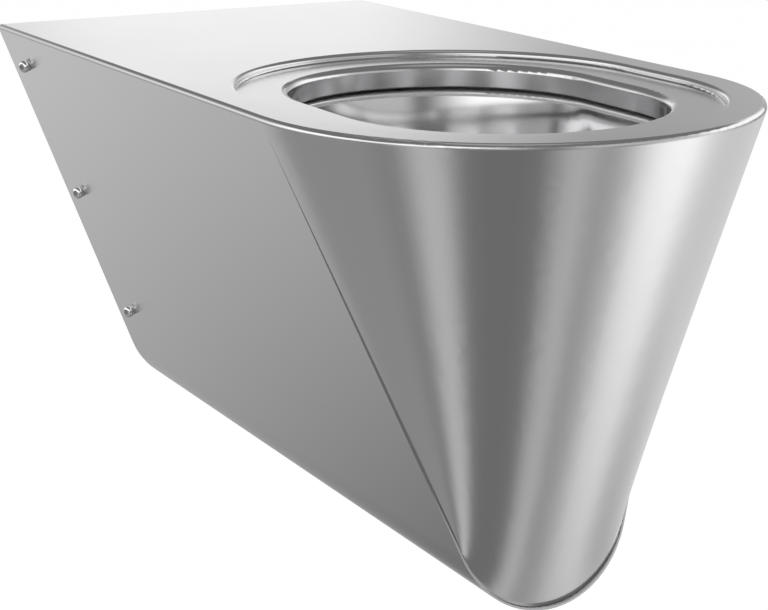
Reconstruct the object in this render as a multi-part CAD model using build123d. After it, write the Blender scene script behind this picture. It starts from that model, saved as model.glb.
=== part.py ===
from build123d import *
import math
import os

# Wall-hung stainless steel toilet pan, 360 wide, 700 deep, 350 high
# The wall is the plane y = 0, the front points to -Y, z = 0 is the level of the two wall bolts

# Overall sizes
pan_width = 360.0
pan_depth = 700.0
pan_height = 350.0
deck_above_bolts = 80.0

# Sheet thicknesses
body_sheet = 1.5
deck_sheet = 2.0
bowl_sheet = 1.5
bracket_sheet = 3.0
bulkhead_sheet = 2.0

# Trough of the body
bottom_bend_radius = 72.0
seam_lean = 79.0
seam_clearance = 0.3
lip_recess = 3.3

# Deck with its rolled edge, seat recess and collar
edge_height = 4.0
edge_radius = 3.2
rim_margin = 26.5
recess_depth = 5.0
recess_floor_radius = 1.2
recess_top_radius = 3.0
seat_ring_width = 32.5
lip_radius = 5.0
collar_height = 18.0
arc_offset = 62.0

# Flush channel under the seat ring
slot_gap = 3.0
channel_setback = 34.0
channel_sheet = 1.5
bowl_setback = 3.0
hem_height = 4.5

# Bowl and sump
bowl_fullness = 2.2
sump_from_wall = 430.0
trap_room = 114.0

# Trap and outlet
pipe_diameter = 84.0
pipe_wall = 1.5
trap_floor_gap = 4.5
trap_low_straight = 10.0
trap_leg_straight = 11.0
outlet_below_bolts = 100.0
outlet_diameter = 102.0
reducer_length = 40.0
outlet_straight = 88.0
outlet_back_gap = 2.0
neck_length = 2.5

# Flush inlet
inlet_above_bolts = 35.0
inlet_diameter = 55.0
inlet_wall = 1.5
inlet_length = 175.0
inlet_back_gap = 5.0
duct_width = 90.0
duct_height = 16.0
duct_top_gap = 3.0

# Rubber seals
seal_bore = 44.0
seal_length = 34.0
seal_flange = 4.0
outlet_seal_thickness = 4.0
outlet_seal_length = 26.0

# Wall bracket
bracket_clearance = 0.3
bracket_flange = 52.0
bracket_top_gap = 8.0
bracket_bottom_gap = 14.0
bolt_spacing = 180.0
bolt_hole = 14.0
lower_hole_spacing = 90.0
lower_hole_drop = 190.0
lower_hole = 9.0
outlet_cutout = 136.0
inlet_cutout = 72.0

# Side screws with their collars and captive nuts
screw_count = 3
screw_first_down = 29.6
screw_pitch = 122.3
screw_from_wall = 40.2
screw_turn = 30.0
screw_diameter = 6.0
screw_length = 20.0
head_diameter = 10.5
head_height = 3.3
socket_size = 4.0
socket_depth = 2.0
collar_diameter = 9.0
head_clearance = 0.5
collar_play = 0.3
nut_diameter = 11.0
nut_length = 9.0
thread_play = 0.05

# Inner plates, stiffeners and pads
rear_plate_from_wall = 60.0
cradle_from_wall = 500.0
plate_play = 0.3
stiffener_width = 44.0
stiffener_height = 13.0
stiffener_flange = 10.0
stiffener_sheet = 1.5
stiffener_first = 100.0
stiffener_pitch = 110.0
stiffener_end_gap = 12.0
pad_thickness = 2.5
pad_from_wall = 150.0
pad_length = 260.0
pad_top_drop = 60.0
pad_drop_length = 110.0

# Levels and places worked out from the sizes
half_width = pan_width / 2
deck_z = deck_above_bolts
seat_z = deck_z - edge_height
bottom_z = deck_z - pan_height
bend_z = bottom_z + bottom_bend_radius
front_arc_y = -(pan_depth - half_width)
back_arc_y = front_arc_y + arc_offset
recess_radius = half_width - rim_margin
floor_z = deck_z - recess_depth
ring_under_z = floor_z - deck_sheet
collar_radius = recess_radius - seat_ring_width - lip_radius
collar_z = floor_z - collar_height
ledge_z = collar_z - slot_gap
channel_radius = half_width - channel_setback
bowl_radius = collar_radius + bowl_setback
bowl_top_z = ledge_z - hem_height
bowl_floor_z = bottom_z + trap_room
bowl_depth = bowl_top_z - bowl_floor_z
pipe_radius = pipe_diameter / 2
sump_radius = pipe_radius - pipe_wall
sump_y = -sump_from_wall
outlet_radius = outlet_diameter / 2
outlet_z = -outlet_below_bolts
trap_top_z = outlet_z + outlet_radius - pipe_radius
trap_low_z = bottom_z + body_sheet + trap_floor_gap + pipe_radius
neck_z = bowl_floor_z - neck_length
trap_bend_radius = (trap_top_z - trap_low_z - trap_leg_straight) / 2
trap_first_radius = min(trap_bend_radius, neck_z - trap_low_z - 0.1)
trap_leg_spacing = trap_first_radius + trap_low_straight + trap_bend_radius
low_middle_y = sump_y + trap_first_radius + trap_low_straight / 2
leg_middle_z = (trap_low_z + trap_top_z) / 2
saddle_from_wall = -low_middle_y - bulkhead_sheet / 2
inlet_radius = inlet_diameter / 2
inlet_z = inlet_above_bolts
outlet_end_y = -outlet_back_gap
reducer_end_y = outlet_end_y - outlet_straight
trap_end_y = reducer_end_y - reducer_length
inlet_end_y = -inlet_back_gap
duct_start_y = inlet_end_y - inlet_length

# Lean of the side panels, from the line that touches the bottom bend
panel_rise = seat_z - bend_z
panel_reach = math.hypot(half_width, panel_rise)
panel_angle = math.pi / 2 - math.atan2(panel_rise, half_width) - math.asin(bottom_bend_radius / panel_reach)
seam_slope = seam_lean / (seat_z - bottom_z)

# Height of the screw heads' seat, clear of the leaning panel
screw_tilt = math.acos(math.cos(math.radians(screw_turn)) * math.cos(panel_angle))
collar_stand = head_diameter / 2 * math.tan(screw_tilt) + head_clearance


def panel_point(inset, z):
    # Point on the right panel at a depth below its outer face
    return half_width - (seat_z - z) * math.tan(panel_angle) - inset / math.cos(panel_angle)


def trough_face(inset, top_z):
    # Cross-section of the trough, flat at the top and round at the bottom
    radius = bottom_bend_radius - inset
    touch_x = radius * math.cos(panel_angle)
    touch_z = bend_z - radius * math.sin(panel_angle)
    top_x = panel_point(inset, top_z)
    left_top = (-top_x, top_z)
    left_touch = (-touch_x, touch_z)
    right_touch = (touch_x, touch_z)
    right_top = (top_x, top_z)
    left_side = Line(left_top, left_touch)
    bend = ThreePointArc(left_touch, (0, bend_z - radius), right_touch)
    right_side = Line(right_touch, right_top)
    top_side = Line(right_top, left_top)
    return Plane.XZ * make_face([left_side, bend, right_side, top_side])


def trough_block(inset, top_z, start, length):
    # Solid of the trough's cross-section over a stretch in front of the wall
    return Pos(0, -start, 0) * extrude(trough_face(inset, top_z), amount=length)


def slot_face(radius, z, front_y, back_y):
    # Long hole outline with two round ends, the family of shapes round the bowl
    left_side = Line((-radius, back_y), (-radius, front_y))
    front_end = ThreePointArc((-radius, front_y), (0, front_y - radius), (radius, front_y))
    right_side = Line((radius, front_y), (radius, back_y))
    back_end = ThreePointArc((radius, back_y), (0, back_y + radius), (-radius, back_y))
    return Pos(0, 0, z) * make_face([left_side, front_end, right_side, back_end])


def slot_block(radius, low_z, high_z):
    # Upright block with the bowl's long hole outline
    face = slot_face(radius, low_z, front_arc_y, back_arc_y)
    return extrude(face, amount=high_z - low_z, dir=(0, 0, 1))


def edges_at(solid, z, reach):
    # Level edges at one height that lie within a half width
    chosen = []
    for edge in solid.edges():
        box = edge.bounding_box()
        level = abs(box.min.Z - z) < 0.01 and abs(box.max.Z - z) < 0.01
        if level and box.max.X < reach and box.min.X > -reach:
            chosen.append(edge)
    return chosen


def deck_face(inset, z, back_y):
    # Outline of the deck, square at the wall and round at the front
    side = half_width - inset
    left_side = Line((-side, back_y), (-side, front_arc_y))
    front_end = ThreePointArc((-side, front_arc_y), (0, front_arc_y - side), (side, front_arc_y))
    right_side = Line((side, front_arc_y), (side, back_y))
    wall_side = Line((side, back_y), (-side, back_y))
    return Pos(0, 0, z) * make_face([left_side, front_end, right_side, wall_side])


def make_top_deck():
    # Pressed deck: rolled edge, recessed seat ring and collar round the opening
    plate = extrude(deck_face(0, seat_z, 0), amount=edge_height, dir=(0, 0, 1))
    top_edges = []
    for edge in plate.edges():
        box = edge.bounding_box()
        if box.min.Z > deck_z - 0.01 and box.min.Y < -1:
            top_edges.append(edge)
    plate = fillet(top_edges, edge_radius)
    hollow_depth = edge_height - deck_sheet
    hollow = extrude(deck_face(deck_sheet, seat_z, deck_sheet), amount=hollow_depth, dir=(0, 0, 1))
    plate = plate - hollow
    cup_radius = recess_radius + deck_sheet
    cup = slot_block(cup_radius, ring_under_z, deck_z - deck_sheet)
    cup = fillet(edges_at(cup, ring_under_z, cup_radius + 1), recess_floor_radius + deck_sheet - 0.5)
    tube_radius = collar_radius + deck_sheet
    tube = slot_block(tube_radius, collar_z, floor_z - 0.5)
    under = cup + tube
    under = fillet(edges_at(under, ring_under_z, tube_radius + 1), lip_radius - deck_sheet)
    cavity = slot_block(recess_radius, floor_z, deck_z + 5)
    cavity = fillet(edges_at(cavity, floor_z, recess_radius + 1), recess_floor_radius)
    opening = slot_block(collar_radius, collar_z - 5, deck_z + 5)
    deck = plate + under - cavity - opening
    deck = fillet(edges_at(deck, deck_z, recess_radius + 1), recess_top_radius)
    deck = fillet(edges_at(deck, floor_z, collar_radius + 1), lip_radius)
    deck = fillet(edges_at(deck, collar_z, tube_radius + 1), deck_sheet * 0.45)
    return deck


def seam_plane():
    # Plane of the trough's front edge, through the rim line and leaning forward
    lean = math.atan(seam_slope)
    normal = (0, -math.cos(lean), math.sin(lean))
    return Plane(origin=(0, front_arc_y, seat_z), x_dir=(1, 0, 0), z_dir=normal)


def screw_side(side, index):
    # Plane on the panel's outer face with its axis along one side screw
    down = screw_first_down + index * screw_pitch
    z = seat_z - down * math.cos(panel_angle)
    x = side * panel_point(0, z)
    turn = math.radians(screw_turn)
    outward = (side * math.cos(turn), -math.sin(turn), 0)
    return Plane(origin=(x, -screw_from_wall, z), x_dir=(0, 0, 1), z_dir=outward)


def screw_bores(side, radius):
    # Cylinders along the side screws of one side, for their holes
    bores = []
    for index in range(screw_count):
        bores.append(screw_side(side, index) * Cylinder(radius, 60))
    return bores


def make_body_shell():
    # Folded trough with both side panels and the bottom bend
    length = pan_depth
    outer = trough_block(0, seat_z, 0, length)
    inner = trough_block(body_sheet, seat_z + 1, -1, length + 2)
    shell = split(outer - inner, bisect_by=seam_plane(), keep=Keep.BOTTOM)
    bore = screw_diameter / 2 + collar_play
    for side in (-1, 1):
        for hole in screw_bores(side, bore):
            shell = shell - hole
    return shell


def seam_touch(radius):
    # Where the front's lower edge leaves the right panel, on the seam plane
    x = radius * math.cos(panel_angle)
    z = bend_z - radius * math.sin(panel_angle)
    y = front_arc_y - (seat_z - z) * seam_slope
    return (x, y, z)


def make_front_cone():
    # Front sheet, ruled from the half-round rim down to the bend of the trough
    rim_outer = half_width
    rim_inner = half_width - body_sheet
    low_outer = bottom_bend_radius - body_sheet - seam_clearance
    low_inner = low_outer - body_sheet
    rim_edges = [
        ThreePointArc(
            (rim_outer, front_arc_y, seat_z),
            (0, front_arc_y - rim_outer, seat_z),
            (-rim_outer, front_arc_y, seat_z),
        ),
        Line((-rim_outer, front_arc_y, seat_z), (-rim_inner, front_arc_y, seat_z)),
        ThreePointArc(
            (-rim_inner, front_arc_y, seat_z),
            (0, front_arc_y - rim_inner, seat_z),
            (rim_inner, front_arc_y, seat_z),
        ),
        Line((rim_inner, front_arc_y, seat_z), (rim_outer, front_arc_y, seat_z)),
    ]
    x, y, z = seam_touch(low_outer)
    bottom_y = front_arc_y - (seat_z - bottom_z) * seam_slope + lip_recess
    tilt = (y - bottom_y) / (z - (bend_z - low_outer))
    inner_x = low_inner * math.cos(panel_angle)
    inner_z = bend_z - low_inner * math.sin(panel_angle)
    inner_y = y + (inner_z - z) * tilt
    low_edges = [
        ThreePointArc((x, y, z), (0, bottom_y, bend_z - low_outer), (-x, y, z)),
        Line((-x, y, z), (-inner_x, inner_y, inner_z)),
        ThreePointArc(
            (-inner_x, inner_y, inner_z),
            (0, bottom_y + body_sheet * tilt, bend_z - low_inner),
            (inner_x, inner_y, inner_z),
        ),
        Line((inner_x, inner_y, inner_z), (x, y, z)),
    ]
    rim = Face(Wire(rim_edges))
    low = Face(Wire(low_edges))
    return loft([rim, low], ruled=True)


def make_rim_channel():
    # Open flush channel: outer wall, ledge and turned-down hem
    ledge_under_z = ledge_z - channel_sheet
    hem_radius = bowl_radius + channel_sheet
    outer = slot_block(channel_radius, ledge_under_z, ring_under_z)
    outer = fillet(edges_at(outer, ledge_under_z, channel_radius + 1), channel_sheet + 3)
    hem = slot_block(hem_radius, bowl_top_z, ledge_under_z + 0.5)
    cavity = slot_block(channel_radius - channel_sheet, ledge_z, ring_under_z + 1)
    cavity = fillet(edges_at(cavity, ledge_z, channel_radius), 3)
    bore = slot_block(bowl_radius, bowl_top_z - 1, ring_under_z + 1)
    channel = outer + hem - cavity - bore
    channel = fillet(edges_at(channel, ledge_z, bowl_radius + 0.5), 2.5)
    mouth_y = back_arc_y + channel_radius
    mouth_z = ring_under_z - duct_top_gap - duct_height / 2
    mouth_width = duct_width - 2 * inlet_wall
    mouth_height = duct_height - 2 * inlet_wall
    mouth = Pos(0, mouth_y, mouth_z) * Box(mouth_width, 40, mouth_height)
    return channel - mouth


def bowl_block(extra, drop):
    # Drawn bowl shape through long hole sections that close onto the sump
    sections = []
    steps = (0, 0.2, 0.4, 0.6, 0.78, 0.91, 1)
    for step in steps:
        swell = math.sqrt(1 - step**bowl_fullness)
        radius = sump_radius + (bowl_radius - sump_radius) * swell + extra
        front_y = sump_y + (front_arc_y - sump_y) * swell - 0.5
        back_y = sump_y + (back_arc_y - sump_y) * swell + 0.5
        z = bowl_top_z - bowl_depth * step - drop * step
        sections.append(slot_face(radius, z, front_y, back_y))
    return loft(sections)


def make_bowl():
    # Bowl shell with a short neck for the trap
    outer = bowl_block(bowl_sheet, bowl_sheet)
    inner = bowl_block(0, 0)
    neck_height = bowl_floor_z - neck_z
    neck_mid = (bowl_floor_z + neck_z) / 2
    neck = Pos(0, sump_y, neck_mid) * Cylinder(pipe_radius, neck_height)
    drain = Pos(0, sump_y, neck_mid) * Cylinder(sump_radius, neck_height + 8)
    return outer + neck - inner - drain


def trap_elbow(start, corner, end, radius):
    # One welded elbow of the trap tube, with its straight ends
    route = FilletPolyline(start, corner, end, radius=radius)
    direction = Vector(corner) - Vector(start)
    mouth = Plane(origin=start, z_dir=direction.normalized())
    outer = sweep(mouth * Circle(pipe_radius), path=route)
    inner = sweep(mouth * Circle(pipe_radius - pipe_wall), path=route)
    return outer - inner


def make_trap_front_elbow():
    # From the sump down to the low run
    start = (0, sump_y, neck_z)
    corner = (0, sump_y, trap_low_z)
    end = (0, low_middle_y, trap_low_z)
    return trap_elbow(start, corner, end, trap_first_radius)


def make_trap_rear_elbow():
    # From the low run up the rising leg
    leg_y = sump_y + trap_leg_spacing
    start = (0, low_middle_y, trap_low_z)
    corner = (0, leg_y, trap_low_z)
    end = (0, leg_y, leg_middle_z)
    return trap_elbow(start, corner, end, trap_bend_radius)


def make_trap_weir_elbow():
    # From the rising leg over the weir to the reducer
    leg_y = sump_y + trap_leg_spacing
    start = (0, leg_y, leg_middle_z)
    corner = (0, leg_y, trap_top_z)
    end = (0, trap_end_y, trap_top_z)
    return trap_elbow(start, corner, end, trap_bend_radius)


def reducer_block(inset, start_extra, end_extra):
    # Level-topped cone from the trap tube to the outlet, with the straight spigot
    small = pipe_radius - inset
    large = outlet_radius - inset
    trap_ring = Plane(origin=(0, trap_end_y, trap_top_z), z_dir=(0, 1, 0)) * Circle(small)
    outlet_ring = Plane(origin=(0, reducer_end_y, outlet_z), z_dir=(0, 1, 0)) * Circle(large)
    cone = loft([trap_ring, outlet_ring], ruled=True)
    length = outlet_straight + end_extra
    tube = extrude(outlet_ring, amount=length, dir=(0, 1, 0))
    block = cone + tube
    if start_extra > 0:
        block = block + extrude(trap_ring, amount=start_extra, dir=(0, -1, 0))
    return block


def make_outlet_spigot():
    # Reducer and outlet spigot
    return reducer_block(0, 0, 0) - reducer_block(pipe_wall, 1, 1)


def make_outlet_seal():
    # Rubber sleeve round the end of the outlet spigot, for a soil pipe socket
    start = Plane(origin=(0, outlet_end_y - outlet_seal_length, outlet_z), z_dir=(0, 1, 0))
    sleeve = extrude(start * Circle(outlet_radius + outlet_seal_thickness), amount=outlet_seal_length)
    sleeve = chamfer(sleeve.edges(), 1)
    bore = extrude(start.offset(-1) * Circle(outlet_radius), amount=outlet_seal_length + 2)
    return sleeve - bore


def make_flush_inlet_pipe():
    # Round flush pipe from the wall towards the rim
    start = Plane(origin=(0, duct_start_y, inlet_z), z_dir=(0, 1, 0))
    outer = extrude(start * Circle(inlet_radius), amount=inlet_length)
    inner = extrude(start.offset(-1) * Circle(inlet_radius - inlet_wall), amount=inlet_length + 2)
    return outer - inner


def round_outline(flat_x, radius, rise):
    # Circle in four arcs: two wide ones above and below, two at the sides
    top = ThreePointArc((-flat_x, rise), (0, radius), (flat_x, rise))
    right = ThreePointArc((flat_x, rise), (radius, 0), (flat_x, -rise))
    low = ThreePointArc((flat_x, -rise), (0, -radius), (-flat_x, -rise))
    left = ThreePointArc((-flat_x, -rise), (-radius, 0), (-flat_x, rise))
    return make_face([top, right, low, left])


def flat_outline(half_flat, radius):
    # Flat slot with half-round sides
    top = Line((-half_flat, radius), (half_flat, radius))
    right = ThreePointArc((half_flat, radius), (half_flat + radius, 0), (half_flat, -radius))
    low = Line((half_flat, -radius), (-half_flat, -radius))
    left = ThreePointArc((-half_flat, -radius), (-half_flat - radius, 0), (-half_flat, radius))
    return make_face([top, right, low, left])


def duct_block(inset, extra):
    # Transition from the round pipe to the flat slot behind the flush channel
    slot_z = ring_under_z - duct_top_gap - duct_height / 2
    slot_y = back_arc_y + channel_radius - 25
    start = Plane(origin=(0, duct_start_y, inlet_z), x_dir=(1, 0, 0), z_dir=(0, -1, 0))
    finish = Plane(origin=(0, slot_y, slot_z), x_dir=(1, 0, 0), z_dir=(0, -1, 0))
    half_flat = (duct_width - duct_height) / 2
    round_radius = inlet_radius - inset
    corner = math.radians(60)
    ring = start * round_outline(round_radius * math.cos(corner), round_radius, round_radius * math.sin(corner))
    slot = finish * flat_outline(half_flat, duct_height / 2 - inset)
    block = loft([ring, slot], ruled=True)
    if extra > 0:
        block = block + extrude(ring, amount=extra, dir=(0, 1, 0))
        block = block + extrude(slot, amount=extra, dir=(0, -1, 0))
    return block


def make_flush_duct():
    # Sheet duct between the flush pipe and the channel
    duct = duct_block(0, 0) - duct_block(inlet_wall, 1)
    return duct - slot_block(channel_radius, ledge_z - 20, deck_z)


def make_inlet_seal():
    # Rubber seal in the mouth of the flush pipe, with a flange behind it
    plug_radius = inlet_radius - inlet_wall
    mouth = Plane(origin=(0, inlet_end_y, inlet_z), z_dir=(0, -1, 0))
    plug = extrude(mouth * Circle(plug_radius), amount=seal_length)
    flange_plane = Plane(origin=(0, inlet_end_y, inlet_z), z_dir=(0, 1, 0))
    flange = extrude(flange_plane * Circle(inlet_radius + 3), amount=seal_flange)
    flange = fillet(flange.edges().sort_by(Axis.Y)[-1], 1.5)
    bore = extrude(flange_plane.offset(-seal_length - 1) * Circle(seal_bore / 2), amount=seal_length + 10)
    return plug + flange - bore


def make_wall_bracket():
    # Folded wall bracket: back plate with cut-outs and a flange along each panel
    outer_inset = body_sheet + bracket_clearance
    inner_inset = outer_inset + bracket_sheet
    top_z = deck_z - bracket_top_gap
    low_z = bottom_z + bracket_bottom_gap
    outer = trough_block(outer_inset, top_z, 0, bracket_flange)
    inner = trough_block(inner_inset, top_z + 1, bracket_sheet, bracket_flange)
    tray = outer - inner
    window_low = bend_z - bottom_bend_radius * math.sin(panel_angle) + 12
    window_height = window_low - bottom_z
    window_y = -(bracket_sheet + bracket_flange / 2)
    window = Pos(0, window_y, bottom_z + window_height / 2) * Box(pan_width, bracket_flange, window_height)
    tray = tray - window
    below = Pos(0, -bracket_sheet / 2, low_z - 50) * Box(pan_width, bracket_sheet * 2, 100)
    tray = tray - below
    cuts = [
        Plane(origin=(0, 0, outlet_z), z_dir=(0, 1, 0)) * Cylinder(outlet_cutout / 2, 20),
        Plane(origin=(0, 0, inlet_z), z_dir=(0, 1, 0)) * Cylinder(inlet_cutout / 2, 20),
    ]
    for side in (-1, 1):
        upper = Plane(origin=(side * bolt_spacing / 2, 0, 0), z_dir=(0, 1, 0))
        cuts.append(upper * Cylinder(bolt_hole / 2, 20))
        lower = Plane(origin=(side * lower_hole_spacing / 2, 0, -lower_hole_drop), z_dir=(0, 1, 0))
        cuts.append(lower * Cylinder(lower_hole / 2, 20))
        cuts.extend(screw_bores(side, screw_diameter / 2 + collar_play))
    for cut in cuts:
        tray = tray - cut
    return tray


def make_side_screws(side):
    # Button head screws of one side, driven level and turned to the front
    screws = []
    for index in range(screw_count):
        seat = screw_side(side, index).offset(collar_stand)
        head_radius = head_diameter / 2
        crown = head_radius * 0.5
        profile = Polyline((0, 0), (head_radius, 0), (head_radius, head_height * 0.2))
        dome = ThreePointArc(
            (head_radius, head_height * 0.2),
            (head_radius * 0.84, head_height * 0.72),
            (crown, head_height),
        )
        cap = Polyline((crown, head_height), (0, head_height), (0, 0))
        face = Plane.XZ * make_face([profile.edges(), dome.edges(), cap.edges()])
        head = revolve(face, axis=Axis.Z)
        shank = Pos(0, 0, -screw_length / 2) * Cylinder(screw_diameter / 2, screw_length)
        socket_radius = socket_size / math.sqrt(3)
        socket = Pos(0, 0, head_height - socket_depth) * extrude(RegularPolygon(socket_radius, 6), amount=5)
        screws.append(seat * (head + shank - socket))
    return screws


def make_screw_collars(side):
    # Bevelled collars between the panel and the heads
    collars = []
    outside = trough_block(0, seat_z + 30, -30, pan_depth)
    for index in range(screw_count):
        plane = screw_side(side, index)
        stand = collar_stand + 12
        tube = Pos(0, 0, collar_stand - stand / 2) * Cylinder(collar_diameter / 2, stand)
        hole = Cylinder(screw_diameter / 2 + collar_play, 60)
        collars.append(plane * (tube - hole) - outside)
    return collars


def make_side_nuts(side):
    # Bevelled threaded bosses welded inside the bracket's flange
    nuts = []
    inner_inset = body_sheet + bracket_clearance + bracket_sheet
    inside = trough_block(inner_inset, seat_z + 30, -30, pan_depth)
    flange_depth = inner_inset / math.cos(math.radians(screw_turn)) / math.cos(panel_angle)
    for index in range(screw_count):
        plane = screw_side(side, index)
        full = nut_length + 12
        middle = -flange_depth - nut_length + full / 2
        boss = Pos(0, 0, middle) * Cylinder(nut_diameter / 2, full)
        hole = Cylinder(screw_diameter / 2 + thread_play, 80)
        nuts.append(plane * (boss - hole) & inside)
    return nuts


def make_rear_plate():
    # Cross plate behind the bracket that carries the flush pipe and the outlet
    inset = body_sheet + plate_play
    plate = trough_block(inset, deck_z - deck_sheet - stiffener_height, rear_plate_from_wall, bulkhead_sheet)
    inlet_hole = Plane(origin=(0, -rear_plate_from_wall, inlet_z), z_dir=(0, 1, 0))
    outlet_hole = Plane(origin=(0, -rear_plate_from_wall, outlet_z), z_dir=(0, 1, 0))
    plate = plate - inlet_hole * Cylinder(inlet_radius + plate_play, 20)
    return plate - outlet_hole * Cylinder(outlet_radius + plate_play, 20)


def make_trap_saddle():
    # Cross plate with a round seat under the low run of the trap
    inset = body_sheet + plate_play
    plate = trough_block(inset, trap_low_z, saddle_from_wall, bulkhead_sheet)
    seat = Plane(origin=(0, -saddle_from_wall, trap_low_z), z_dir=(0, 1, 0))
    return plate - seat * Cylinder(pipe_radius + plate_play, 20)


def make_bowl_cradle():
    # Cross plate with a cut-out that follows the bowl
    inset = body_sheet + plate_play
    top_z = bowl_top_z - bowl_depth * 0.35
    low_z = bottom_z + bottom_bend_radius
    plate = trough_block(inset, top_z, cradle_from_wall, bulkhead_sheet)
    below = Pos(0, -cradle_from_wall, low_z - pan_height / 2) * Box(pan_width, 20, pan_height)
    around = bowl_block(bowl_sheet + plate_play, bowl_sheet + plate_play)
    return plate - below - around


def make_deck_stiffener(index):
    # Hat-shaped rail across the underside of the deck
    centre = -(stiffener_first + index * stiffener_pitch)
    top = deck_z - deck_sheet
    half = stiffener_width / 2
    inner = half - stiffener_flange
    low = top - stiffener_height
    thick = stiffener_sheet
    reach = panel_point(body_sheet, low) - stiffener_end_gap
    points = [
        (-half, top),
        (-half, top - thick),
        (-inner, top - thick),
        (-inner, low),
        (inner, low),
        (inner, top - thick),
        (half, top - thick),
        (half, top),
        (inner - thick, top),
        (inner - thick, low + thick),
        (-inner + thick, low + thick),
        (-inner + thick, top),
    ]
    outline = make_face(Polyline(points, close=True))
    plane = Plane(origin=(-reach, centre, 0), x_dir=(0, 1, 0), z_dir=(1, 0, 0))
    return extrude(plane * outline, amount=2 * reach)


def make_damping_pad(side):
    # Sound-deadening pad bonded inside one panel
    outer = trough_block(body_sheet, seat_z, pad_from_wall, pad_length)
    inner = trough_block(body_sheet + pad_thickness, seat_z + 1, pad_from_wall - 1, pad_length + 2)
    high = deck_z - pad_top_drop
    middle_y = -(pad_from_wall + pad_length / 2)
    window = Pos(side * pan_width / 2, middle_y, high - pad_drop_length / 2)
    return (outer - inner) & (window * Box(pan_width, pad_length + 4, pad_drop_length))


def write_node(name, shape):
    # One file for each named piece or group of like pieces
    if isinstance(shape, list):
        solids = []
        for item in shape:
            solids.extend(item.solids())
        shape = Compound(solids)
    else:
        solids = shape.solids()
        shape = solids[0] if len(solids) == 1 else Compound(solids)
    export_step(shape, "parts/" + name + ".step")


def main():
    os.makedirs("parts", exist_ok=True)
    write_node("top_deck", make_top_deck())
    write_node("body_shell", make_body_shell())
    write_node("front_cone", make_front_cone())
    write_node("rim_channel", make_rim_channel())
    write_node("bowl", make_bowl())
    write_node("trap_front_elbow", make_trap_front_elbow())
    write_node("trap_rear_elbow", make_trap_rear_elbow())
    write_node("trap_weir_elbow", make_trap_weir_elbow())
    write_node("outlet_spigot", make_outlet_spigot())
    write_node("outlet_seal", make_outlet_seal())
    write_node("flush_inlet_pipe", make_flush_inlet_pipe())
    write_node("flush_duct", make_flush_duct())
    write_node("inlet_seal", make_inlet_seal())
    write_node("wall_bracket", make_wall_bracket())
    write_node("rear_plate", make_rear_plate())
    write_node("trap_saddle", make_trap_saddle())
    write_node("bowl_cradle", make_bowl_cradle())
    write_node("deck_stiffener_rear", make_deck_stiffener(0))
    write_node("deck_stiffener_front", make_deck_stiffener(1))
    for side, word in ((-1, "left"), (1, "right")):
        write_node("side_screws_" + word, make_side_screws(side))
        write_node("screw_collars_" + word, make_screw_collars(side))
        write_node("side_nuts_" + word, make_side_nuts(side))
        write_node("damping_pad_" + word, make_damping_pad(side))
    crown_z = trap_low_z + pipe_radius - pipe_wall
    weir_z = trap_top_z - pipe_radius + pipe_wall
    print("water seal", round(weir_z - crown_z, 1))


main()
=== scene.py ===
import math

import bmesh
import bpy
from mathutils import Matrix, Vector

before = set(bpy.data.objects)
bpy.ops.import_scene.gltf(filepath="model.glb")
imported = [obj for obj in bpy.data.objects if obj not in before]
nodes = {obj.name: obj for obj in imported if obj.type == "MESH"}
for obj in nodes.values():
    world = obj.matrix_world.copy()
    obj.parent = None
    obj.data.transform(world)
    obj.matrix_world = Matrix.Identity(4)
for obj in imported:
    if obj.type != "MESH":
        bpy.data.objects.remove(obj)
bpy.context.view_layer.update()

millimetre = 0.001
print("frame loaded,", len(nodes), "pieces of steel and rubber")


# small helpers for node trees

def freshTree(owner):
    owner.use_nodes = True
    tree = owner.node_tree
    tree.nodes.clear()
    return tree


def addNode(tree, kind, **settings):
    node = tree.nodes.new(kind)
    for key, value in settings.items():
        setattr(node, key, value)
    return node


def wire(tree, fromNode, fromName, toNode, toName):
    tree.links.new(fromNode.outputs[fromName], toNode.inputs[toName])


def closeTree(tree, lastNode, lastName, kind="ShaderNodeOutputMaterial"):
    wire(tree, lastNode, lastName, addNode(tree, kind), "Surface")


def mathNode(tree, operation, first, second=None):
    node = addNode(tree, "ShaderNodeMath", operation=operation)
    for place, value in enumerate((first, second)):
        if value is None:
            continue
        if isinstance(value, (int, float)):
            node.inputs[place].default_value = value
        else:
            tree.links.new(value, node.inputs[place])
    return node.outputs[0]


def rangeNode(tree, value, fromLow, fromHigh, toLow, toHigh, smooth=False):
    bend = "SMOOTHSTEP" if smooth else "LINEAR"
    node = addNode(tree, "ShaderNodeMapRange", interpolation_type=bend)
    tree.links.new(value, node.inputs["Value"])
    node.inputs["From Min"].default_value = fromLow
    node.inputs["From Max"].default_value = fromHigh
    node.inputs["To Min"].default_value = toLow
    node.inputs["To Max"].default_value = toHigh
    return node.outputs["Result"]


def noiseNode(tree, source, sourceName, scale, detail):
    node = addNode(tree, "ShaderNodeTexNoise")
    node.inputs["Scale"].default_value = scale
    node.inputs["Detail"].default_value = detail
    wire(tree, source, sourceName, node, "Vector")
    return node


def bumpNode(tree, strength, depth):
    node = addNode(tree, "ShaderNodeBump")
    node.inputs["Strength"].default_value = strength
    node.inputs["Distance"].default_value = depth * millimetre
    return node


def seenRays(tree):  # 1 for what is looked at straight, in a mirror or through glass
    rays = addNode(tree, "ShaderNodeLightPath")
    seen = mathNode(tree, "MAXIMUM", rays.outputs["Is Camera Ray"], rays.outputs["Is Glossy Ray"])
    return mathNode(tree, "MAXIMUM", seen, rays.outputs["Is Transmission Ray"])


# steel finishes: hairlines from the belt, faint clouds in the polish, depths in mm

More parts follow.
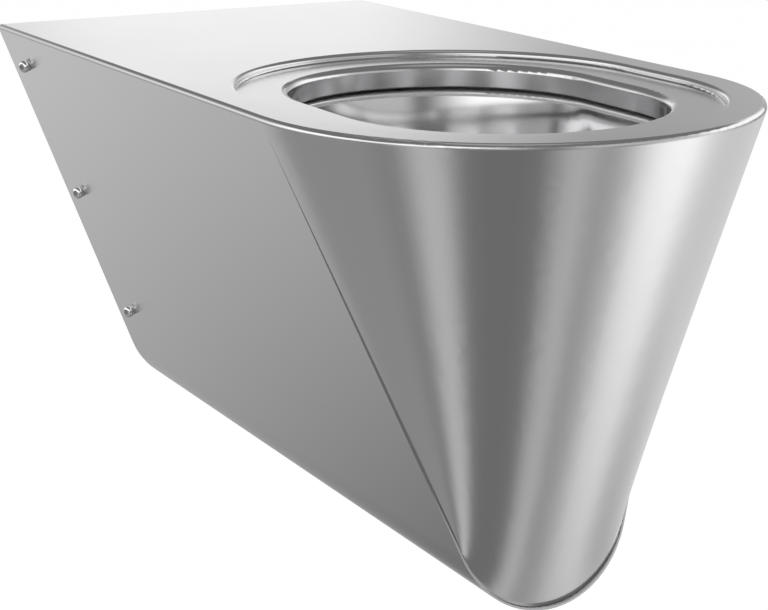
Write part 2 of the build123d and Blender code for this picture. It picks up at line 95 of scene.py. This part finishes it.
steelLooks = {
    "deckSteel": {
        "tone": (0.735, 0.730, 0.735), "toneShift": 0.012,
        "roughness": 0.18, "roughnessShift": 0.015,
        "lineScale": (900.0, 14.0, 900.0), "lineDepth": 0.0012, "cloudScale": 9.0,
    },
    "bodySteel": {  # the belt ran along the rulings, where the sheet faces one way
        "tone": (0.715, 0.712, 0.716), "toneShift": 0.012,
        "roughness": 0.20, "roughnessShift": 0.015,
        "lineScale": (70.0, 70.0, 4.0), "lineDepth": 0.0010, "cloudScale": 7.0,
        "lineSource": "Normal",
    },
    "channelSteel": {
        "metal": 0.7, "tone": (0.86, 0.86, 0.866), "toneShift": 0.02,
        "roughness": 0.30, "roughnessShift": 0.04,
        "lineScale": (600.0, 600.0, 600.0), "lineDepth": 0.002, "cloudScale": 14.0,
    },
    "bowlSteel": {  # slow waves of the drawn sheet in place of hairlines
        "tone": (0.74, 0.74, 0.746), "toneShift": 0.015,
        "roughness": 0.10, "roughnessShift": 0.015,
        "lineScale": (10.0, 10.0, 15.0), "lineDepth": 2.2, "cloudScale": 11.0,
        "lineDetail": 0.0, "grainShare": 0.0001,
        "flare": 0.17, "flareFrom": 0.050, "flareTo": -0.060,
    },
    "millSteel": {
        "tone": (0.58, 0.58, 0.59), "toneShift": 0.04,
        "roughness": 0.38, "roughnessShift": 0.08,
        "lineScale": (220.0, 700.0, 220.0), "lineDepth": 0.008, "cloudScale": 18.0,
    },
    "bracketSteel": {
        "tone": (0.56, 0.56, 0.57), "toneShift": 0.04,
        "roughness": 0.42, "roughnessShift": 0.08,
        "lineScale": (60.0, 700.0, 700.0), "lineDepth": 0.008, "cloudScale": 15.0,
    },
    "screwSteel": {
        "tone": (0.86, 0.86, 0.87), "toneShift": 0.02,
        "roughness": 0.11, "roughnessShift": 0.03,
        "lineScale": (1500.0, 1500.0, 1500.0), "lineDepth": 0.001, "cloudScale": 120.0,
    },
}

steelPattern = {
    "cloudDetail": 3.0, "lineDetail": 4.0, "lineRoughness": 0.6, "grainScale": 2600.0,
    "grainDetail": 2.0, "grainShare": 0.35, "lineShare": 0.6, "cloudShare": 0.4,
    "dullFrom": 0.3, "dullTo": 0.7,
}


def steelMaterial(name, look, pattern):
    material = bpy.data.materials.new(name)
    tree = freshTree(material)
    shader = addNode(tree, "ShaderNodeBsdfPrincipled")
    shader.inputs["Metallic"].default_value = look.get("metal", 1.0)
    coords = addNode(tree, "ShaderNodeTexCoord")

    # slow change of the polish over a hand's width
    cloud = noiseNode(tree, coords, "Object", look["cloudScale"], pattern["cloudDetail"])

    stretch = addNode(tree, "ShaderNodeMapping")
    stretch.inputs["Scale"].default_value = look["lineScale"]
    wire(tree, coords, look.get("lineSource", "Object"), stretch, "Vector")
    lineDetail = look.get("lineDetail", pattern["lineDetail"])
    lines = noiseNode(tree, stretch, "Vector", 1.0, lineDetail)
    lines.inputs["Roughness"].default_value = pattern["lineRoughness"]

    # fine satin grain
    grain = noiseNode(tree, coords, "Object", pattern["grainScale"], pattern["grainDetail"])

    tone = addNode(tree, "ShaderNodeMix", data_type="RGBA")
    shift = look["toneShift"]
    tone.inputs["A"].default_value = tuple(value - shift for value in look["tone"]) + (1.0,)
    tone.inputs["B"].default_value = tuple(value + shift for value in look["tone"]) + (1.0,)
    linePart = mathNode(tree, "MULTIPLY", lines.outputs["Fac"], pattern["lineShare"])
    cloudPart = mathNode(tree, "MULTIPLY", cloud.outputs["Fac"], pattern["cloudShare"])
    blend = mathNode(tree, "ADD", linePart, cloudPart)
    tree.links.new(blend, tone.inputs["Factor"])
    wire(tree, tone, "Result", shader, "Base Color")

    smoothest = look["roughness"] - look["roughnessShift"]
    roughest = look["roughness"] + look["roughnessShift"]
    dull = rangeNode(tree, blend, pattern["dullFrom"], pattern["dullTo"], smoothest, roughest)
    tree.links.new(dull, shader.inputs["Roughness"])

    grainShare = look.get("grainShare", pattern["grainShare"])
    grainPart = mathNode(tree, "MULTIPLY", grain.outputs["Fac"], grainShare)
    height = mathNode(tree, "ADD", lines.outputs["Fac"], grainPart)
    if "flare" in look:  # the drawn wall opens out towards its edge
        place = addNode(tree, "ShaderNodeSeparateXYZ")
        wire(tree, coords, "Object", place, "Vector")
        rise = rangeNode(tree, place.outputs["Z"], look["flareTo"], look["flareFrom"], 0.0, 1.0)
        span = look["flareFrom"] - look["flareTo"]
        reach = look["flare"] * span / (look["lineDepth"] * millimetre) / 2
        lean = mathNode(tree, "MULTIPLY", mathNode(tree, "MULTIPLY", rise, rise), reach)
        height = mathNode(tree, "SUBTRACT", height, lean)
    bump = bumpNode(tree, 1.0, look["lineDepth"])
    tree.links.new(height, bump.inputs["Height"])
    wire(tree, bump, "Normal", shader, "Normal")
    closeTree(tree, shader, "BSDF")
    return material


# rubber and the sound-deadening mat

softLooks = {
    "sealRubber": {
        "tone": (0.035, 0.035, 0.037), "roughness": 0.55,
        "bumpScale": 900.0, "bumpDepth": 0.05, "cloudScale": 40.0,
    },
    "soundMat": {
        "tone": (0.045, 0.044, 0.043), "roughness": 0.78,
        "bumpScale": 240.0, "bumpDepth": 0.35, "cloudScale": 25.0,
    },
}

softPattern = {
    "sheen": 0.35, "dustDetail": 4.0, "dustFrom": 0.35, "dustTo": 0.75, "dustGain": 1.7,
    "skinDetail": 3.0, "skinStrength": 0.8,
}


def softMaterial(name, look, pattern):
    material = bpy.data.materials.new(name)
    tree = freshTree(material)
    shader = addNode(tree, "ShaderNodeBsdfPrincipled")
    shader.inputs["Roughness"].default_value = look["roughness"]
    shader.inputs["Specular IOR Level"].default_value = pattern["sheen"]
    coords = addNode(tree, "ShaderNodeTexCoord")

    dust = noiseNode(tree, coords, "Object", look["cloudScale"], pattern["dustDetail"])
    tone = addNode(tree, "ShaderNodeMix", data_type="RGBA")
    gain = pattern["dustGain"]
    tone.inputs["A"].default_value = look["tone"] + (1.0,)
    tone.inputs["B"].default_value = tuple(value * gain for value in look["tone"]) + (1.0,)
    share = rangeNode(tree, dust.outputs["Fac"], pattern["dustFrom"], pattern["dustTo"], 0.0, 1.0)
    tree.links.new(share, tone.inputs["Factor"])
    wire(tree, tone, "Result", shader, "Base Color")

    skin = noiseNode(tree, coords, "Object", look["bumpScale"], pattern["skinDetail"])
    bump = bumpNode(tree, pattern["skinStrength"], look["bumpDepth"])
    wire(tree, skin, "Fac", bump, "Height")
    wire(tree, bump, "Normal", shader, "Normal")
    closeTree(tree, shader, "BSDF")
    return material


finishes = {name: steelMaterial(name, look, steelPattern) for name, look in steelLooks.items()}
for name, look in softLooks.items():
    finishes[name] = softMaterial(name, look, softPattern)

finishOfPiece = {
    "top_deck": "deckSteel", "body_shell": "bodySteel", "front_cone": "bodySteel",
    "rim_channel": "channelSteel", "bowl": "bowlSteel",
    "trap_front_elbow": "millSteel", "trap_rear_elbow": "millSteel",
    "trap_weir_elbow": "millSteel", "outlet_spigot": "millSteel",
    "flush_inlet_pipe": "millSteel", "flush_duct": "millSteel",
    "rear_plate": "millSteel", "trap_saddle": "millSteel", "bowl_cradle": "millSteel",
    "deck_stiffener_rear": "millSteel", "deck_stiffener_front": "millSteel",
    "wall_bracket": "bracketSteel",
    "side_screws_left": "screwSteel", "side_screws_right": "screwSteel",
    "screw_collars_left": "screwSteel", "screw_collars_right": "screwSteel",
    "side_nuts_left": "screwSteel", "side_nuts_right": "screwSteel",
    "outlet_seal": "sealRubber", "inlet_seal": "sealRubber",
    "damping_pad_left": "soundMat", "damping_pad_right": "soundMat",
}
for name, piece in nodes.items():
    material = finishes[finishOfPiece[name]]
    if not piece.material_slots:
        piece.data.materials.append(material)
    for slot in piece.material_slots:
        slot.material = material
print("finishes on", len(nodes), "pieces")


# floor, far under the hung pan, so that its soft shadow stays faint

floorPlan = {"level": -2.6, "half": 40.0, "tone": 0.93, "lift": 0.14}


def makeFloor(plan):
    shape = bmesh.new()
    bmesh.ops.create_grid(shape, x_segments=1, y_segments=1, size=plan["half"])
    bmesh.ops.translate(shape, verts=shape.verts, vec=(0.0, 0.0, plan["level"]))
    mesh = bpy.data.meshes.new("studioFloor")
    shape.to_mesh(mesh)
    shape.free()
    floor = bpy.data.objects.new("studioFloor", mesh)
    bpy.context.scene.collection.objects.link(floor)

    material = bpy.data.materials.new("floorPaint")
    tree = freshTree(material)
    paint = addNode(tree, "ShaderNodeBsdfDiffuse")
    paint.inputs["Color"].default_value = (plan["tone"],) * 3 + (1.0,)
    lift = addNode(tree, "ShaderNodeEmission")
    liftStrength = mathNode(tree, "MULTIPLY", seenRays(tree), plan["lift"])
    tree.links.new(liftStrength, lift.inputs["Strength"])
    both = addNode(tree, "ShaderNodeAddShader")
    wire(tree, paint, "BSDF", both, 0)
    wire(tree, lift, "Emission", both, 1)
    closeTree(tree, both, "Shader")
    mesh.materials.append(material)


makeFloor(floorPlan)


# light tent: soft boxes and flags hang round the pan and only the steel mirrors them

tentPlan = {
    "middle": (0.0, -0.56, -0.06), "radius": 2.3, "around": 48, "upward": 24,
    "cloth": (1.0, 0.998, 1.0, 1.0), "lowBase": 0.19, "highBase": 0.20, "topBase": 0.46,
    "lowLevel": -12.0, "highLevel": 4.0, "topFrom": 64.0, "topTo": 80.0,
    "downEnd": 2.0, "upFade": 8.0,
}

# turn is degrees from the wall side towards the right, core and edge are half widths in
# degrees, low and high the levels in degrees between which the card fades in, light its
# strength; cards that hang down end at the horizon, those that stand up end over top
tentCards = {
    "leftStrip": {
        "turn": -113, "core": 3, "edge": 19, "low": -75, "high": -70, "light": 0.44, "side": "down",
    },
    "leftWash": {
        "turn": -58, "core": 18, "edge": 50, "low": -75, "high": -70, "light": 0.14, "side": "down",
    },
    "frontStrip": {
        "turn": 177, "core": 3, "edge": 17, "low": -75, "high": -70, "light": 0.24, "side": "down",
    },
    "frontWash": {
        "turn": 165, "core": 5, "edge": 25, "low": -75, "high": -70, "light": 0.17, "side": "down",
    },
    "rightBox": {
        "turn": 125, "core": 5, "edge": 37, "low": -70, "high": -24, "light": 1.26, "side": "down",
    },
    "rightWash": {
        "turn": 62, "core": 26, "edge": 48, "low": -56, "high": -28, "light": 0.56, "side": "down",
    },
    "wallGlow": {
        "turn": 4, "core": 22, "edge": 43, "low": -43, "high": -5, "light": 0.56, "side": "down",
    },
    "deckBox": {
        "turn": 20, "core": 5, "edge": 17, "low": -4, "high": 3, "light": 0.44,
        "side": "up", "top": 13,
    },
    "wallSky": {
        "turn": 2, "core": 22, "edge": 58, "low": -4, "high": 3, "light": 0.46,
        "side": "up", "top": 13,
    },
    "leftSky": {
        "turn": -92, "core": 34, "edge": 82, "low": -3, "high": 5, "light": 1.2,
        "side": "up", "top": 25,
    },
    "rightSky": {
        "turn": 90, "core": 18, "edge": 54, "low": 0, "high": 8, "light": 1.1,
        "side": "up", "top": 25,
    },
    "frontSky": {
        "turn": 158, "core": 16, "edge": 34, "low": -3, "high": 5, "light": 0.40,
        "side": "up", "top": 25,
    },
}

degreesPerRadian = 180.0 / math.pi
justOver, justUnder = 1.0001, 0.9999  # keep the roots and arcs off their ends


def cardNode(tree, card, plan, level, towardX, towardY, below):
    turn = math.radians(card["turn"])
    nearX = mathNode(tree, "MULTIPLY", towardX, math.sin(turn))
    nearY = mathNode(tree, "MULTIPLY", towardY, math.cos(turn))
    near = mathNode(tree, "MULTIPLY", mathNode(tree, "ADD", nearX, nearY), justUnder)
    angle = mathNode(tree, "MULTIPLY", mathNode(tree, "ARCCOSINE", near), degreesPerRadian)
    across = rangeNode(tree, angle, card["core"], card["edge"], card["light"], 0.0, smooth=True)
    upright = rangeNode(tree, level, card["low"], card["high"], 0.0, 1.0)
    share = mathNode(tree, "MULTIPLY", across, upright)
    if card["side"] == "up":
        fadeEnd = card["top"] + plan["upFade"]
        below = rangeNode(tree, level, card["top"], fadeEnd, 1.0, 0.0, smooth=True)
    return mathNode(tree, "MULTIPLY", share, below)


def makeTent(plan, cards):
    shape = bmesh.new()
    bmesh.ops.create_uvsphere(
        shape, u_segments=plan["around"], v_segments=plan["upward"], radius=plan["radius"])
    mesh = bpy.data.meshes.new("lightTent")
    shape.to_mesh(mesh)
    shape.free()
    tent = bpy.data.objects.new("lightTent", mesh)
    tent.location = plan["middle"]
    bpy.context.scene.collection.objects.link(tent)
    tent.visible_camera = False
    tent.visible_diffuse = False
    tent.visible_shadow = False
    tent.visible_transmission = False
    tent.visible_volume_scatter = False

    material = bpy.data.materials.new("tentCloth")
    tree = freshTree(material)
    coords = addNode(tree, "ShaderNodeTexCoord")
    unit = addNode(tree, "ShaderNodeVectorMath", operation="NORMALIZE")
    wire(tree, coords, "Object", unit, 0)
    parts = addNode(tree, "ShaderNodeSeparateXYZ")
    wire(tree, unit, "Vector", parts, "Vector")
    level = mathNode(tree, "ARCSINE", parts.outputs["Z"])
    level = mathNode(tree, "MULTIPLY", level, degreesPerRadian)
    upSquare = mathNode(tree, "POWER", parts.outputs["Z"], 2.0)
    flat = mathNode(tree, "SQRT", mathNode(tree, "SUBTRACT", justOver, upSquare))
    towardX = mathNode(tree, "DIVIDE", parts.outputs["X"], flat)
    towardY = mathNode(tree, "DIVIDE", parts.outputs["Y"], flat)

    low, high, top = plan["lowBase"], plan["highBase"], plan["topBase"]
    rise = rangeNode(tree, level, plan["lowLevel"], plan["highLevel"], low, high, smooth=True)
    crown = rangeNode(tree, level, plan["topFrom"], plan["topTo"], 0.0, top - high, smooth=True)
    total = mathNode(tree, "ADD", rise, crown)
    below = rangeNode(tree, level, plan["lowLevel"], plan["downEnd"], 1.0, 0.0, smooth=True)
    for card in cards.values():
        share = cardNode(tree, card, plan, level, towardX, towardY, below)
        total = mathNode(tree, "ADD", total, share)
    glow = addNode(tree, "ShaderNodeEmission")
    glow.inputs["Color"].default_value = plan["cloth"]
    tree.links.new(total, glow.inputs["Strength"])
    closeTree(tree, glow, "Emission")
    mesh.materials.append(material)


makeTent(tentPlan, tentCards)


# white room light and two soft lamps

roomLight = {"seen": 1.0, "spread": 0.92}


def makeRoom(plan):
    world = bpy.data.worlds.new("studioRoom")
    bpy.context.scene.world = world
    tree = freshTree(world)
    strength = rangeNode(tree, seenRays(tree), 0.0, 1.0, plan["spread"], plan["seen"])
    air = addNode(tree, "ShaderNodeBackground")
    air.inputs["Color"].default_value = (1.0, 1.0, 1.0, 1.0)
    tree.links.new(strength, air.inputs["Strength"])
    closeTree(tree, air, "Background", "ShaderNodeOutputWorld")


makeRoom(roomLight)

lampPlans = {
    "overheadLamp": {
        "place": (-0.4, -0.6, 2.0), "aim": (0.0, -0.45, 0.0), "size": 1.6, "power": 14.0,
    },
    "sideLamp": {
        "place": (-1.9, -1.6, 1.1), "aim": (0.0, -0.4, -0.05), "size": 1.2, "power": 9.0,
    },
}


def makeLamp(name, plan):
    light = bpy.data.lights.new(name, "AREA")
    light.shape = "SQUARE"
    light.size = plan["size"]
    light.energy = plan["power"]
    lamp = bpy.data.objects.new(name, light)
    lamp.location = plan["place"]
    aim = Vector(plan["aim"]) - Vector(plan["place"])
    lamp.rotation_mode = "QUATERNION"
    lamp.rotation_quaternion = aim.to_track_quat("-Z", "Y")
    bpy.context.scene.collection.objects.link(lamp)
    lamp.visible_glossy = False  # the tent alone shows in the steel


for name, plan in lampPlans.items():
    makeLamp(name, plan)
print("floor, tent and lamps set")


# camera at the photograph's place, angles in radians

cameraPlan = {
    "place": (-0.70858, -1.62243, 0.29857), "turn": 0.5113, "tip": 0.2743, "roll": -0.0005,
    "lens": 90.5801, "sensor": 36.0, "near": 0.05, "far": 200.0,
}


def makeCamera(plan):
    turn, tip, roll = plan["turn"], plan["tip"], plan["roll"]
    ahead = Vector((
        math.sin(turn) * math.cos(tip), math.cos(turn) * math.cos(tip), -math.sin(tip)))
    right = Vector((math.cos(turn), -math.sin(turn), 0.0))
    up = right.cross(ahead)
    tiltedRight = right * math.cos(roll) + up * math.sin(roll)
    tiltedUp = up * math.cos(roll) - right * math.sin(roll)
    lens = bpy.data.cameras.new("photoCamera")
    lens.sensor_width = plan["sensor"]
    lens.lens = plan["lens"]
    lens.clip_start = plan["near"]
    lens.clip_end = plan["far"]
    camera = bpy.data.objects.new("photoCamera", lens)
    bpy.context.scene.collection.objects.link(camera)
    axes = Matrix((tiltedRight, tiltedUp, -ahead)).transposed()
    camera.matrix_world = Matrix.Translation(plan["place"]) @ axes.to_4x4()
    bpy.context.scene.camera = camera


makeCamera(cameraPlan)
bpy.context.scene.view_settings.view_transform = "Standard"

print("camera set")
